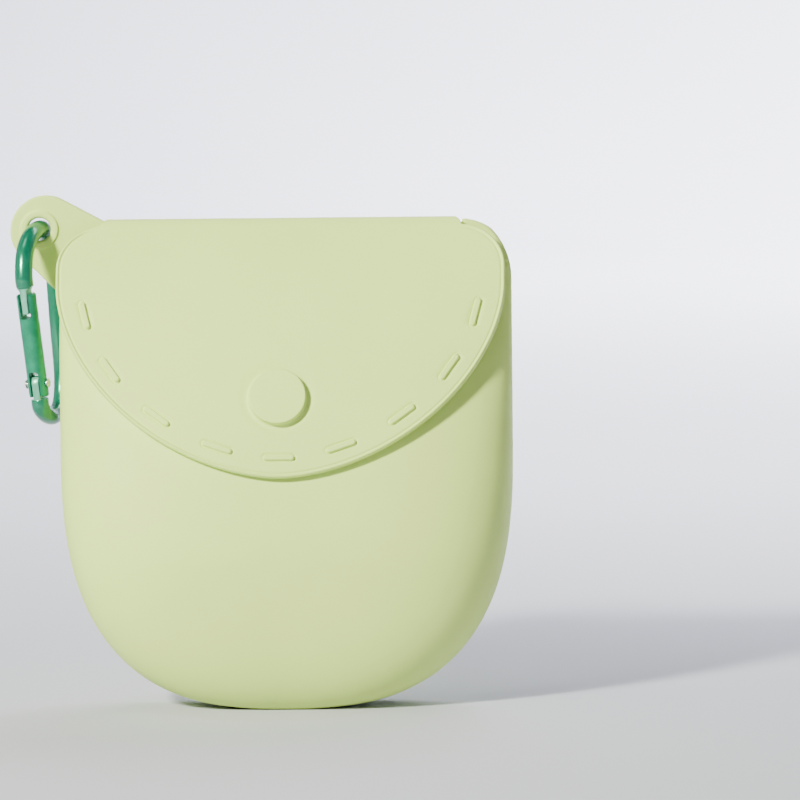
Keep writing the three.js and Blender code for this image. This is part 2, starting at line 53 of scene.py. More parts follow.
# the shell: sides, front and back each round in towards the foot as part of a superellipse
HALF_WIDTH = 57.5
WALL = 2.0
FLOOR = 2.4
SIDE_Z = 67.8
SIDE_POWER = 2.8
FOOT_CUT_X = 0.2
FRONT_Y = -20.5
BELLY_Z = 38.0
BELLY_POWER = 2.45
LEAN_Z = 121.0
LEAN_RUN = 33.5
LEAN_POWER = 1.55
HEEL_Z = 26.0
HEEL_POWER = 2.6
FOOT_CUT_Y = 1.35
BACK_CORNER = 9.5
CORNER_DEPTH_SHARE = 0.45
CORNER_WIDTH_SHARE = 0.8
FRONT_POWER = 3

# the mouth: its rim is low in front and rises to round shoulders at the back wall
MOUTH_Z = 104.0
MOUTH_Y = 3.0
MOUTH_LEAN = math.radians(33)
BLOCK_FRONT_TOP_Z = 108.0
BLOCK_TOP_Z = 126.0
SHOULDER_R = 14.2
WALL_TOP_Z = 122.6
LIP_R = WALL / 2

# the fold over the back wall, and the flap that hangs from it
FOLD_R = 3.4
FOLD_JOIN_Z = 120.4
FLAP_T = 1.9
FLAP_GAP = 0.4
FLAP_OUT = FLAP_GAP + FLAP_T
FLAP_X = -1.0
FLAP_HALF_WIDTH = 56.9
FLAP_WIDEST_Z = 107.0
FLAP_TIP_Z = 60.0
FLAP_POWER = 1.78
FLAP_CORNER_R = 12.0
NECK_HALF_WIDTH = 44.3
NECK_GAP = 0.3
NECK_FLARE = 1.5
NECK_FLARE_RISE = 4.5
NOTCH_R = 0.35
ROOT_LENGTH = 6.5
ROOT_CORNER_R = 3.2
ROOT_PROUD = 0.02
ROOT_SINK = 0.14
FLAP_CROWN = 2.0
CROWN_POWER = 2.5
CROWN_TOP_Z = 110.0
CROWN_FULL_Z = 84.0

# the flap's round edge, the bead inside it and the groove behind the bead
EDGE_R = 0.36
RIM_BAND = 2.4
BEAD_HEIGHT = 0.22
BEAD_INSET = 0.45
BEAD_WIDTH = 0.24
GROOVE_DEPTH = 0.24
GROOVE_INSET = 1.0
GROOVE_WIDTH = 0.22

# the button, the dished ring round it, and the magnet's pocket behind it
BUTTON_X = -1.4
BUTTON_Z = 78.5
BUTTON_R = 7.15
BUTTON_H = 2.0
BUTTON_EDGE = 0.3
BUTTON_FILLET = 0.6
DISH_DEPTH = 0.24
DISH_AWAY = 0.9
DISH_WIDTH = 0.8
POCKET_R = 4.3
POCKET_DEPTH = 2.9

# the raised stitch bars, each in its own shallow moat
BAR_COUNT = 9
BAR_STEP = math.radians(19.7)
BAR_HALF_WIDTH = 50.4
BAR_DROP = 42.1
BAR_POWER = 1.85
BAR_R = 0.73
BAR_LENGTH = 7.8
BAR_PROUD = 0.62
MOAT_DEPTH = 0.3
MOAT_AWAY = 0.22
MOAT_WIDTH = 0.2

# the hanging tab, and the collar round its eyelet
TAB_X = -61.1
TAB_Z = 120.3
TAB_R = 9.15
TAB_T = 1.9
TAB_EDGE_R = 0.55
TAB_UPPER_SLOPE = math.radians(28.5)
TAB_LOWER_SLOPE = math.radians(45)
TAB_ROOT_X = -46.1
EYELET_X = -62.8
EYELET_Z = 120.8
EYELET_R = 2.9
COLLAR_R = 4.85
COLLAR_PROUD = 0.55
COLLAR_FLARE_R = 0.8
COLLAR_CREST_R = 0.4
COLLAR_FOOT_R = 0.3

# the two magnets, their plugs, and the boss on the front wall's inside
MAGNET_R = 4.0
MAGNET_T = 1.5
PLUG_T = 0.8
CLEARANCE = 0.3
BOSS_R = 6.2
BOSS_H = 1.7

# the carabiner in its own plane, from its hanging point: p runs from the gate to the spine, q up
ROD_R = 2.25
CARABINER_TURN = math.radians(17)
CARABINER_LEAN = math.radians(4.8)
HANG_DROP = 0.15
RIVET_P = -11.65
RIVET_Q = -38.3
GATE_TILT = math.radians(4.6)
GATE_R = 2.5
GATE_TOP = 23.2
GATE_BOTTOM = -3.4
GATE_BORE_R = 1.6
GATE_BORE_TOP = 15.5
GATE_CHAMFER = 0.3
GATE_BEVEL = 0.13
SLOT_DISH = 0.55
NOSE_SLOT = 2.7
NOSE_SLOT_END = 16.9
HINGE_SLOT = 2.5
HINGE_SLOT_END = 3.3
NOSE_END = 25.2
NOSE_TONGUE_T = 1.5
NOSE_TONGUE_END = 18.1
NOSE_ROUNDING = 0.3
NOSE_CHAMFER = 0.62
NOSE_FLARE = 0.22
NOSE_FLARE_FADE = 2.2
NOSE_TIP_R = 0.3
HINGE_TONGUE_T = 1.85
HINGE_BLOCK = -3.9
HINGE_ARC = math.radians(84)
HINGE_TIP_R = 0.2
STRAIGHT_END = 2.0
TONGUE_R = 2.1
RIVET_R = 0.75
RIVET_HEAD_R = 1.15
RIVET_HALF_LENGTH = 3.35
RIVET_HEAD_T = 0.55
RIVET_RIM_T = 0.12
RIVET_RIM_R = 0.06
PLUNGER_R = 1.3
PLUNGER_LENGTH = 2.6
SPRING_R = 1.05
SPRING_WIRE_R = 0.18
SPRING_TURNS = 7
SPRING_END_CLOSING = 0.045


# ---- meshes -------------------------------------------------------------------------------------

def mesh_object(name, points, faces, material):
    """A smooth-shaded closed mesh from millimetre points."""
    mesh = bpy.data.meshes.new(name)
    mesh.from_pydata((np.asarray(points, float) * MM).tolist(), [], faces)
    made = bmesh.new()
    made.from_mesh(mesh)
    bmesh.ops.remove_doubles(made, verts=made.verts, dist=1e-7)
    bmesh.ops.recalc_face_normals(made, faces=made.faces)
    made.to_mesh(mesh)
    made.free()
    mesh.polygons.foreach_set("use_smooth", [True] * len(mesh.polygons))
    mesh.materials.append(material)
    piece = bpy.data.objects.new(name, mesh)
    bpy.context.scene.collection.objects.link(piece)
    return piece


def ring_skin(rings):
    """Points and faces of a closed skin of equal rings, with a pole in the middle of each end ring."""
    stack = np.asarray(rings, float)
    count, sides = stack.shape[0], stack.shape[1]
    points = np.concatenate([stack.reshape(-1, 3), stack[:1].mean(1), stack[-1:].mean(1)])
    here = np.arange(sides)
    ahead = (here + 1) % sides
    faces = []
    for row in range(count - 1):
        low, high = row * sides, (row + 1) * sides
        faces += np.stack([low + here, low + ahead, high + ahead, high + here], 1).tolist()
    first, last = count * sides, count * sides + 1
    faces += np.stack([np.full(sides, first), ahead, here], 1).tolist()
    top = (count - 1) * sides
    faces += np.stack([np.full(sides, last), top + here, top + ahead], 1).tolist()
    return points, faces


def loop_skin(rings):
    """Points and faces of a closed skin of equal rings whose last ring joins its first."""
    stack = np.asarray(rings, float)
    count, sides = stack.shape[0], stack.shape[1]
    here = np.arange(sides)
    ahead = (here + 1) % sides
    faces = []
    for row in range(count):
        low, high = row * sides, ((row + 1) % count) * sides
        faces += np.stack([low + here, low + ahead, high + ahead, high + here], 1).tolist()
    return stack.reshape(-1, 3), faces


def smooth_step(value, low, high):
    """Rises smoothly from 0 at low to 1 at high."""
    part = np.clip((value - low) / (high - low), 0, 1)
    return part * part * (3 - 2 * part)


def signed_power(value, power):
    """A power of the size, with the sign kept."""
    return np.sign(value) * np.abs(value) ** power


def ridge(distance, height, middle, width):
    """The height of a smooth ridge at a distance; a negative height makes a groove."""
    return height * np.exp(-((distance - middle) / width) ** 2)


def quarter_turn(count):
    """Angles from zero to a right angle."""
    return np.linspace(0, math.pi / 2, count)


def full_turn(sides):
    """Equal steps once round."""
    return np.linspace(0, 2 * math.pi, sides + 1)[:-1]


def resampled(points, spacing_at):
    """A closed polyline resampled so that neighbours are about spacing_at(point) apart."""
    loop = np.vstack([points, points[:1]])
    steps = np.linalg.norm(np.diff(loop, axis=0), axis=1)
    middles = (loop[1:] + loop[:-1]) / 2
    weight = np.concatenate([[0], np.cumsum(steps / spacing_at(middles))])
    count = int(math.ceil(weight[-1]))
    wanted = np.arange(count) * weight[-1] / count
    return np.stack([np.interp(wanted, weight, loop[:, axis]) for axis in range(2)], 1)


def inward_normals(loop, reach=1):
    """Unit normals that point into a counter-clockwise closed polyline."""
    along = np.roll(loop, -reach, 0) - np.roll(loop, reach, 0)
    normal = np.stack([-along[:, 1], along[:, 0]], 1)
    return normal / np.linalg.norm(normal, axis=1, keepdims=True)


# ---- pouch surfaces -----------------------------------------------------------------------------

def bowl(z, top, cut, power):
    """The share of full size left at a height, for a side that rounds in below top."""
    reach = np.clip((top - z) / (top + cut), 0, 1)
    return (1 - reach ** power) ** (1 / power)


def front_at(z):
    """How far forward the front lies at a height: a belly below, leaning back above."""
    above = np.clip((z - BELLY_Z) / (LEAN_Z - BELLY_Z), 0, None)
    return np.where(z <= BELLY_Z, FRONT_Y * bowl(z, BELLY_Z, FOOT_CUT_Y, BELLY_POWER),
                    FRONT_Y + LEAN_RUN * above ** LEAN_POWER)


def lean_at(z):
    """The front's lean from upright at a height."""
    above = np.clip((z - BELLY_Z) / (LEAN_Z - BELLY_Z), 0, None)
    return np.arctan(LEAN_RUN * LEAN_POWER / (LEAN_Z - BELLY_Z) * above ** (LEAN_POWER - 1))


def out_of_front(z, distance):
    """The y and z of a point a distance out of the front."""
    lean = lean_at(z)
    return front_at(z) - distance * np.cos(lean), z + distance * np.sin(lean)


FOLD_Y, FOLD_Z = (float(value) for value in out_of_front(FOLD_JOIN_Z, FLAP_OUT - FOLD_R))
BACK_Y = FOLD_Y + FOLD_R
FOLD_END = math.pi - float(lean_at(FOLD_JOIN_Z))


def section_weights(turn):
    """Shares of half width, corner and depth for turns round the section, from 0 to 4."""
    quarter = math.pi / 2
    angle = np.clip(turn, 0, 2) * quarter
    front = turn <= 2
    left = (turn > 2) & (turn <= 2.5)
    flat = (turn > 2.5) & (turn <= 3.5)
    bend = np.where(left, (turn - 2) * 2, (4 - turn) * 2) * quarter
    across = 2 * (turn - 2.5) - 1
    side = np.where(left, -1.0, 1.0)
    half = np.select([front, flat], [signed_power(np.cos(angle), 2 / FRONT_POWER), across], side)
    corner_x = np.select([front, flat], [0 * turn, -across], -side * (1 - np.cos(bend)))
    depth = np.where(front, np.abs(np.sin(angle)) ** (2 / FRONT_POWER), 0)
    corner_y = np.select([front, flat], [0 * turn, 0 * turn + 1], np.sin(bend))
    return half, corner_x, depth, corner_y


def section_points(weights, z, inset):
    """Points round the section at a height, set in from the outside."""
    half_share, corner_x, depth, corner_y = weights
    half = HALF_WIDTH * bowl(z, SIDE_Z, FOOT_CUT_X, SIDE_POWER) - inset
    front = front_at(np.minimum(z, BLOCK_FRONT_TOP_Z)) + inset
    back = BACK_Y * bowl(z, HEEL_Z, FOOT_CUT_Y, HEEL_POWER) - inset
    corner = np.minimum(BACK_CORNER - inset, CORNER_DEPTH_SHARE * (back - front))
    corner = np.minimum(corner, CORNER_WIDTH_SHARE * half)
    side = back - corner
    x = half * half_share + corner * corner_x
    y = side + (front - side) * depth + corner * corner_y
    return np.stack([x, y, z + 0 * x], -1)


def shell_turns():
    """Turns round the section about a millimetre apart, closer beside the neck's notches."""
    typical_z, near_notch, spacing, fine_spacing = 90.0, 1.2, 0.9, 0.12
    fine = np.linspace(0, 4, 16001)
    loop = section_points(section_weights(fine), np.full(fine.shape, typical_z), 0)
    steps = np.linalg.norm(np.diff(loop, axis=0), axis=1)
    middle = (loop[1:] + loop[:-1]) / 2
    from_notch = np.abs(np.abs(middle[:, 0] - FLAP_X) - NECK_HALF_WIDTH - NECK_GAP)
    close = (from_notch < near_notch) & (middle[:, 1] > 0)
    weight = np.concatenate([[0], np.cumsum(steps / np.where(close, fine_spacing, spacing))])
    count = int(weight[-1])
    return np.interp(np.arange(count) * weight[-1] / count, weight, fine)


def tab_upper_edge(x):
    """The height of the tab's sloping upper edge."""
    start_x = TAB_X + TAB_R * math.sin(TAB_UPPER_SLOPE)
    start_z = TAB_Z + TAB_R * math.cos(TAB_UPPER_SLOPE)
    return start_z - (x - start_x) * math.tan(TAB_UPPER_SLOPE)


def rim_height(weights):
    """The shell's top edge: low in front, rising round the sides to the shoulders."""
    below_tab_edge = 0.15
    at_mouth = section_points(weights, np.full(weights[0].shape, MOUTH_Z), 0)
    x, y = at_mouth[:, 0], at_mouth[:, 1]
    rise = np.clip(y - MOUTH_Y, 0, None) / math.tan(MOUTH_LEAN)
    beyond = np.clip(np.abs(x) - (HALF_WIDTH - SHOULDER_R), 0, SHOULDER_R)
    shoulder = WALL_TOP_Z - SHOULDER_R + np.sqrt(SHOULDER_R ** 2 - beyond ** 2)
    top = np.minimum(MOUTH_Z + rise, shoulder)
    under_tab = np.minimum(top, tab_upper_edge(x) - below_tab_edge)
    top = np.where(x < TAB_ROOT_X, under_tab, top)
    in_neck = (np.abs(x - FLAP_X) < NECK_HALF_WIDTH + NECK_GAP) & (y > BACK_Y - BACK_CORNER)
    return np.where(in_neck, FOLD_Z, top)


def shell_rings():
    """Rings from the foot's middle up the outside, over the lip and down the inside to the floor."""
    rows, foot_crowding, lowest_inside = 125, 1.6, 0.02
    weights = section_weights(shell_turns())
    top = rim_height(weights) - LIP_R
    rises = np.linspace(0, 1, rows) ** foot_crowding
    outer = [section_points(weights, top * rise, 0) for rise in rises]
    foot = outer[0]
    middle = foot.mean(0)
    base = [middle + (foot - middle) * share for share in (0.25, 0.5, 0.75)]
    inner = []
    for rise in rises[::-1]:
        height = (top - FLOOR) * rise / (1 - FLOOR / BLOCK_TOP_Z)
        height = np.clip(height, lowest_inside, None)
        points = section_points(weights, height, WALL)
        points[:, 2] = FLOOR + (top - FLOOR) * rise
        inner.append(points)
    edge = outer[-1]
    well = inner[0]
    centre = (edge + well) / 2
    lip = []
    for angle in np.linspace(0, math.pi, 11)[1:-1]:
        arc = centre + (edge - centre) * math.cos(angle)
        arc[:, 2] += LIP_R * math.sin(angle)
        lip.append(arc)
    floor_middle = inner[-1].mean(0)
    floor = [floor_middle + (inner[-1] - floor_middle) * share for share in (0.75, 0.5, 0.25)]
    return base + outer + lip + inner + floor


# ---- hanging tab --------------------------------------------------------------------------------

def tab_outline():
    """The tab's outline in x and z, counter-clockwise as seen from the front."""
    upper = math.pi / 2 - TAB_UPPER_SLOPE
    lower = math.pi + TAB_LOWER_SLOPE
    arc = np.linspace(upper, lower, 120)
    round_end = np.stack([TAB_X + TAB_R * np.cos(arc), TAB_Z + TAB_R * np.sin(arc)], 1)
    low = round_end[-1]
    under_wall = 3
    run = -HALF_WIDTH + under_wall - low[0]
    low_root = low + np.array([run, -run * math.tan(TAB_LOWER_SLOPE)])
    corners = [low, low_root, np.array([TAB_ROOT_X, MOUTH_Z + 2]),
               np.array([TAB_ROOT_X, tab_upper_edge(TAB_ROOT_X)]), round_end[0]]
    sides = [a + (b - a) * np.linspace(0, 1, 60)[1:, None] for a, b in zip(corners, corners[1:])]
    return np.vstack([round_end] + sides)


def tab_rings():
    """Rings out of the eyelet, over its collar and the tab's face, round the edge and back behind."""
    spacing, rear_sink = 0.28, 0.03
    loop = resampled(tab_outline(), lambda at: spacing)
    centre = np.array([EYELET_X, EYELET_Z])
    spoke = loop - centre
    unit = spoke / np.linalg.norm(spoke, axis=1, keepdims=True)
    inward = inward_normals(loop, 3)
    half = TAB_T / 2
    proud = half + COLLAR_PROUD
    flare = [(EYELET_R + COLLAR_FLARE_R * (1 - math.cos(a)),
              proud - COLLAR_FLARE_R + COLLAR_FLARE_R * math.sin(a)) for a in quarter_turn(7)]
    crest = [(COLLAR_R - COLLAR_CREST_R + COLLAR_CREST_R * math.sin(a),
              proud - COLLAR_CREST_R + COLLAR_CREST_R * math.cos(a)) for a in quarter_turn(6)]
    foot = [(COLLAR_R + COLLAR_FOOT_R * (1 - math.sin(a)),
             half + COLLAR_FOOT_R * (1 - math.cos(a))) for a in quarter_turn(5)[::-1]]
    front = [(centre + unit * radius, height) for radius, height in flare + crest + foot]
    inner = centre + unit * (COLLAR_R + COLLAR_FOOT_R)
    outer = loop + inward * TAB_EDGE_R
    for share in (0.1, 0.25, 0.45, 0.65, 0.85, 0.95):
        front.append((inner + (outer - inner) * share, half))
    for a in quarter_turn(7):
        front.append((loop + inward * TAB_EDGE_R * (1 - math.sin(a)), half - TAB_EDGE_R * (1 - math.cos(a))))
    rings = front + [(flat, -height) for flat, height in front[::-1]]
    middle_y = BACK_Y - half
    stack = []
    for flat, height in rings:
        depth = middle_y - height - rear_sink * (height < 0)
        stack.append(np.stack([flat[:, 0], np.full(len(flat), depth), flat[:, 1]], 1))
    return stack


# ---- flap ---------------------------------------------------------------------------------------

def sheet_table():
    """Rows of the flap's outer side, y, z, normal y, normal z and front height, and their distances."""
    past_tip, past_fold = 3, 12
    z = np.linspace(FLAP_TIP_Z - past_tip, FOLD_JOIN_Z, 1200)
    y_out, z_out = out_of_front(z, FLAP_OUT)
    lean = lean_at(z)
    front = np.stack([y_out, z_out, -np.cos(lean), np.sin(lean), z], 1)
    angle = np.linspace(FOLD_END, 0, 200)[1:]
    fold = np.stack([FOLD_Y + FOLD_R * np.cos(angle), FOLD_Z + FOLD_R * np.sin(angle),
                     np.cos(angle), np.sin(angle), np.full(angle.shape, FOLD_JOIN_Z)], 1)
    drop = np.linspace(0, past_fold, 60)[1:]
    back = np.stack([BACK_Y + 0 * drop, FOLD_Z - drop, 1 + 0 * drop, 0 * drop,
                     FOLD_JOIN_Z + 0 * drop], 1)
    rows = np.vstack([front, fold, back])
    steps = np.linalg.norm(np.diff(rows[:, :2], axis=0), axis=1)
    along = np.concatenate([[0], np.cumsum(steps)])
    return along - along[len(front) - 1], rows


SHEET_ALONG, SHEET_ROWS = sheet_table()
FOLD_LENGTH = FOLD_R * FOLD_END
SHEET_TOP = FOLD_LENGTH + ROOT_LENGTH


def along_at(height):
    """Distance along the flap at which its outer side is at a height on the front."""
    front = SHEET_ALONG <= 0
    return np.interp(height, SHEET_ROWS[front, 1], SHEET_ALONG[front])


def on_sheet(x, along, lift):
    """Points lifted out of the flap's outer side, from x off its middle line and distance along it."""
    y, z, ny, nz, height = (np.interp(along, SHEET_ALONG, SHEET_ROWS[:, i]) for i in range(5))
    fade = np.clip((CROWN_TOP_Z - height) / (CROWN_TOP_Z - CROWN_FULL_Z), 0, 1)
    crown = FLAP_CROWN * fade * np.abs(x / FLAP_HALF_WIDTH) ** CROWN_POWER
    return np.stack([FLAP_X + x, y + ny * lift + crown, z + nz * lift], -1)


def flap_outline():
    """The flap's outline unrolled, as x off its middle line and distance along it, counter-clockwise."""
    angle = quarter_turn(500)
    x = FLAP_HALF_WIDTH * np.sin(angle) ** (2 / FLAP_POWER)
    z = FLAP_WIDEST_Z - (FLAP_WIDEST_Z - FLAP_TIP_Z) * np.cos(angle) ** (2 / FLAP_POWER)
    below = np.stack([x, along_at(z)], 1)
    turn = quarter_turn(60)
    inside = FLAP_HALF_WIDTH - FLAP_CORNER_R
    corner = np.stack([inside + FLAP_CORNER_R * np.cos(turn),
                       FLAP_CORNER_R * (np.sin(turn) - 1)], 1)
    climb = np.linspace(NOTCH_R, SHEET_TOP - ROOT_CORNER_R, 80)
    flare = NECK_FLARE * (1 - smooth_step(climb, 0, NECK_FLARE_RISE))
    neck = np.stack([NECK_HALF_WIDTH + flare, climb], 1)
    notch_x = neck[0, 0] + NOTCH_R
    corner = corner[corner[:, 0] > notch_x + 0.05]
    notch = np.stack([notch_x - NOTCH_R * np.sin(turn),
                      corner[-1, 1] + (NOTCH_R - corner[-1, 1]) * (1 - np.cos(turn))], 1)[:-1]
    root = np.stack([NECK_HALF_WIDTH - ROOT_CORNER_R * (1 - np.cos(turn)),
                     SHEET_TOP - ROOT_CORNER_R * (1 - np.sin(turn))], 1)[1:-1]
    neck = np.vstack([notch, neck, root])
    top_x = np.linspace(NECK_HALF_WIDTH - ROOT_CORNER_R, 0, 90)[1:]
    top = np.stack([top_x, np.full(top_x.shape, SHEET_TOP)], 1)
    right = np.vstack([below, corner, neck, top])
    left = right[1:-1][::-1] * np.array([-1, 1])
    return np.vstack([right, left])


def flap_spacing(at):
    """Spacing of the outline's points: finest at the notches, widest along the root."""
    high = at[:, 1] > -FLAP_CORNER_R - 3
    top = at[:, 1] > SHEET_TOP - 0.1
    from_notch = np.hypot(np.abs(at[:, 0]) - NECK_HALF_WIDTH - NECK_FLARE, at[:, 1])
    return np.select([from_notch < 1, top, high], [0.05, 0.9, 0.36], 0.27)


def bar_curve(angle):
    """The middle line of the stitch bars, as x and height."""
    x = BAR_HALF_WIDTH * signed_power(np.sin(angle), 2 / BAR_POWER)
    return x, FLAP_WIDEST_Z - BAR_DROP * np.cos(angle) ** (2 / BAR_POWER)


def bar_lift(x, along):
    """Height of the stitch bars over the unrolled flap."""
    nearest = np.full(x.shape, 1e3)
    for index in range(BAR_COUNT):
        angle = BAR_STEP * (index - (BAR_COUNT - 1) / 2)
        ends = []
        for step in (-1e-3, 1e-3):
            bar_x, bar_z = bar_curve(angle + step)
            ends.append(np.array([float(bar_x), float(along_at(bar_z))]))
        heading = (ends[1] - ends[0]) / np.linalg.norm(ends[1] - ends[0])
        middle = (ends[0] + ends[1]) / 2
        dx, dv = x - middle[0], along - middle[1]
        run = dx * heading[0] + dv * heading[1]
        aside = dv * heading[0] - dx * heading[1]
        over = np.clip(np.abs(run) - (BAR_LENGTH / 2 - BAR_R), 0, None)
        nearest = np.minimum(nearest, np.hypot(over, aside))
    moat = ridge(nearest - BAR_R, MOAT_DEPTH, MOAT_AWAY, MOAT_WIDTH)
    return BAR_PROUD * (1 - smooth_step(nearest, BAR_R - 0.16, BAR_R + 0.06)) - moat


def rim_lift(inset, along):
    """The bead just inside the flap's edge, with a fine groove behind it."""
    bead = ridge(inset, BEAD_HEIGHT, BEAD_INSET, BEAD_WIDTH)
    groove = ridge(inset, -GROOVE_DEPTH, GROOVE_INSET, GROOVE_WIDTH)
    return (bead + groove) * (1 - smooth_step(along, -3.0, -0.5))


def root_lift(along):
    """Keeps the flap's root a hair proud of the back wall, then sinks its end into it."""
    return ROOT_PROUD - ROOT_SINK * smooth_step(along, SHEET_TOP - 4.5, SHEET_TOP - 0.2)


def dish_lift(radius):
    """The shallow dished ring around the button's foot."""
    return ridge(radius - BUTTON_R, -DISH_DEPTH, DISH_AWAY, DISH_WIDTH)


def polar_radius(angle, curve, centre):
    """Distance from centre to a star-shaped closed curve at each angle."""
    offset = curve - centre
    turn = np.arctan2(offset[:, 1], offset[:, 0])
    order = np.argsort(turn)
    return np.interp(angle, turn[order], np.linalg.norm(offset, axis=1)[order], period=2 * math.pi)


def edge_distance(flat, loop):
    """Distance from each point to the nearest part of a closed polyline."""
    start, end = loop, np.roll(loop, -1, 0)
    step = end - start
    length = (step ** 2).sum(1)
    best = np.full(len(flat), np.inf)
    batch = 400
    for low in range(0, len(flat), batch):
        away = flat[low:low + batch, None] - start[None]
        share = np.clip((away * step).sum(2) / length, 0, 1)
        best[low:low + batch] = np.linalg.norm(away - share[..., None] * step, axis=2).min(1)
    return best


def edge_drop(inside):
    """How far the round edge falls below the face, a distance inside the outline."""
    return EDGE_R - np.sqrt(EDGE_R ** 2 - np.clip(EDGE_R - inside, 0, EDGE_R) ** 2)


def flap_rings():
    """Rings about the button, from its middle out over the edge and back under the flap."""
    loop = resampled(flap_outline(), flap_spacing)
    button_along = float(along_at(out_of_front(BUTTON_Z, FLAP_OUT)[1]))
    centre = np.array([BUTTON_X - FLAP_X, button_along])
    spoke = loop - centre
    reach = np.linalg.norm(spoke, axis=1)
    unit = spoke / reach[:, None]
    angle = np.arctan2(unit[:, 1], unit[:, 0])
    slant = np.clip(-(inward_normals(loop) * unit).sum(1), 0.5, 1)
    skirt = BUTTON_R + BUTTON_FILLET + 0.4
    skirt_ring = np.full(reach.shape, skirt)
    inner = reach - RIM_BAND / slant

    # closer rings cross the bars below and the fold above
    bar_band = 1.5
    bar_x, bar_z = bar_curve(np.linspace(-math.pi / 2, math.pi / 2, 400))
    bars = polar_radius(angle, np.stack([bar_x, along_at(bar_z)], 1), centre)
    rise = np.clip(np.sin(angle), 0.3, 1)
    fold_from = (-0.6 - centre[1]) / rise
    fold_to = (FOLD_LENGTH + 0.4 - centre[1]) / rise
    high = smooth_step(np.sin(angle), math.sin(math.radians(31)), math.sin(math.radians(42)))
    band_from = np.minimum((bars - bar_band) * (1 - high) + fold_from * high, inner - bar_band)
    band_to = np.minimum((bars + bar_band) * (1 - high) + fold_to * high, inner - 0.4)

    def spaced(start, end, count):
        return [start + (end - start) * i / count for i in range(count)]

    def at_radius(radius):
        flat = centre + unit * radius[:, None]
        return flat[:, 0], flat[:, 1], flat

    face = []
    for radius in (spaced(skirt_ring, band_from, 34) + spaced(band_from, band_to, 22)
                   + spaced(band_to, inner, 4)):
        x, along, _ = at_radius(radius)
        face.append((x, along, bar_lift(x, along) + root_lift(along) + dish_lift(radius)))
    rounds = EDGE_R * (1 - np.sin(quarter_turn(7)[1:]))
    for inset in np.concatenate([np.linspace(RIM_BAND, EDGE_R, 17), rounds]):
        x, along, flat = at_radius(reach - inset / slant)
        inside = edge_distance(flat, loop)
        face.append((x, along, rim_lift(inside, along) + root_lift(along) - edge_drop(inside)))
    rear = []
    for inset in EDGE_R * (1 - np.cos(quarter_turn(7))):
        x, along, flat = at_radius(reach - inset / slant)
        rear.append((x, along, edge_drop(edge_distance(flat, loop)) - FLAP_T))
    for radius in (spaced(inner, band_to, 3) + spaced(band_to, band_from, 14)
                   + spaced(band_from, skirt_ring, 16)):
        x, along, _ = at_radius(radius)
        rear.append((x, along, np.full(reach.shape, -FLAP_T)))

    def circle(radius, lift):
        flat = centre + unit * radius
        return flat[:, 0], flat[:, 1], np.full(reach.shape, lift)

    button = [circle(radius, BUTTON_H) for radius in (0.8, 1.8, 2.8, 3.8, 4.8, 5.8, 6.5)]
    for turn in quarter_turn(9):
        button.append(circle(BUTTON_R - BUTTON_EDGE * (1 - math.sin(turn)),
                             BUTTON_H - BUTTON_EDGE * (1 - math.cos(turn))))
    for turn in quarter_turn(8):
        foot = BUTTON_R + BUTTON_FILLET * (1 - math.cos(turn))
        button.append(circle(foot, BUTTON_FILLET * (1 - math.sin(turn)) + dish_lift(foot)))
    pocket_profile = [
        (skirt, 0), (7.5, 0), (6.4, 0), (5.4, 0),
        (POCKET_R + 0.25, 0), (POCKET_R + 0.07, 0.07), (POCKET_R, 0.25),
        (POCKET_R, 0.5 * POCKET_DEPTH), (POCKET_R, POCKET_DEPTH), (3.0, POCKET_DEPTH), (1.5, POCKET_DEPTH),
    ]
    pocket = [circle(radius, depth - FLAP_T) for radius, depth in pocket_profile]
    return [on_sheet(*row) for row in button + face + rear + pocket]


# ---- carabiner ----------------------------------------------------------------------------------

HANGING_POINT = Matrix.Translation((EYELET_X, BACK_Y - TAB_T / 2, EYELET_Z - HANG_DROP))
CARABINER_FRAME = (HANGING_POINT @ Matrix.Rotation(-CARABINER_LEAN, 4, "Y")
                   @ Matrix.Rotation(-CARABINER_TURN, 4, "Z"))
GATE_IN_FRAME = Matrix.Translation((0, RIVET_P, RIVET_Q)) @ Matrix.Rotation(GATE_TILT, 4, "X")
GATE_FRAME = CARABINER_FRAME @ GATE_IN_FRAME


def placed(points, frame_matrix):
    """Points moved by a frame."""
    turn = np.array(frame_matrix.to_3x3())
    return np.asarray(points, float) @ turn.T + np.array(frame_matrix.translation)


def on_gate_axis(height):
    """The p and q of a point on the gate's axis, a height above the rivet."""
    return np.array(GATE_IN_FRAME @ Vector((0, 0, height)))[1:]


def smooth_path(knots, per_span):
    """A centripetal curve through points, as dense points."""
    knots = [np.asarray(knot, float) for knot in knots]
    ends = [2 * knots[0] - knots[1]] + knots + [2 * knots[-1] - knots[-2]]
    path = []
    for a, b, c, d in zip(ends, ends[1:], ends[2:], ends[3:]):
        gaps = [max(np.linalg.norm(v - u), 1e-6) ** 0.5 for u, v in ((a, b), (b, c), (c, d))]
        start = ((b - a) / gaps[0] - (c - a) / (gaps[0] + gaps[1]) + (c - b) / gaps[1]) * gaps[1]
        end = ((c - b) / gaps[1] - (d - b) / (gaps[1] + gaps[2]) + (d - c) / gaps[2]) * gaps[1]
        for t in np.arange(per_span) / per_span:
            path.append(b + start * t + (3 * (c - b) - 2 * start - end) * t ** 2
                        + (2 * (b - c) + start + end) * t ** 3)
    path.append(knots[-1])
    return np.array(path)


# p and q of the bent rod's middle line, from the hinge round the foot, up the spine and over the top
ROD_BENDS = [
    (-8.4, -46.3),
    (-3.3, -47.4),
    (2.4, -45.2),
    (5.3, -39.4),
    (6.2, -24.0),
    (6.8, -9.0),
    (5.4, -2.6),
    (1.9, -0.1),
    (-2.4, 0.0),
    (-7.6, -1.7),
    (-11.8, -5.4),
]


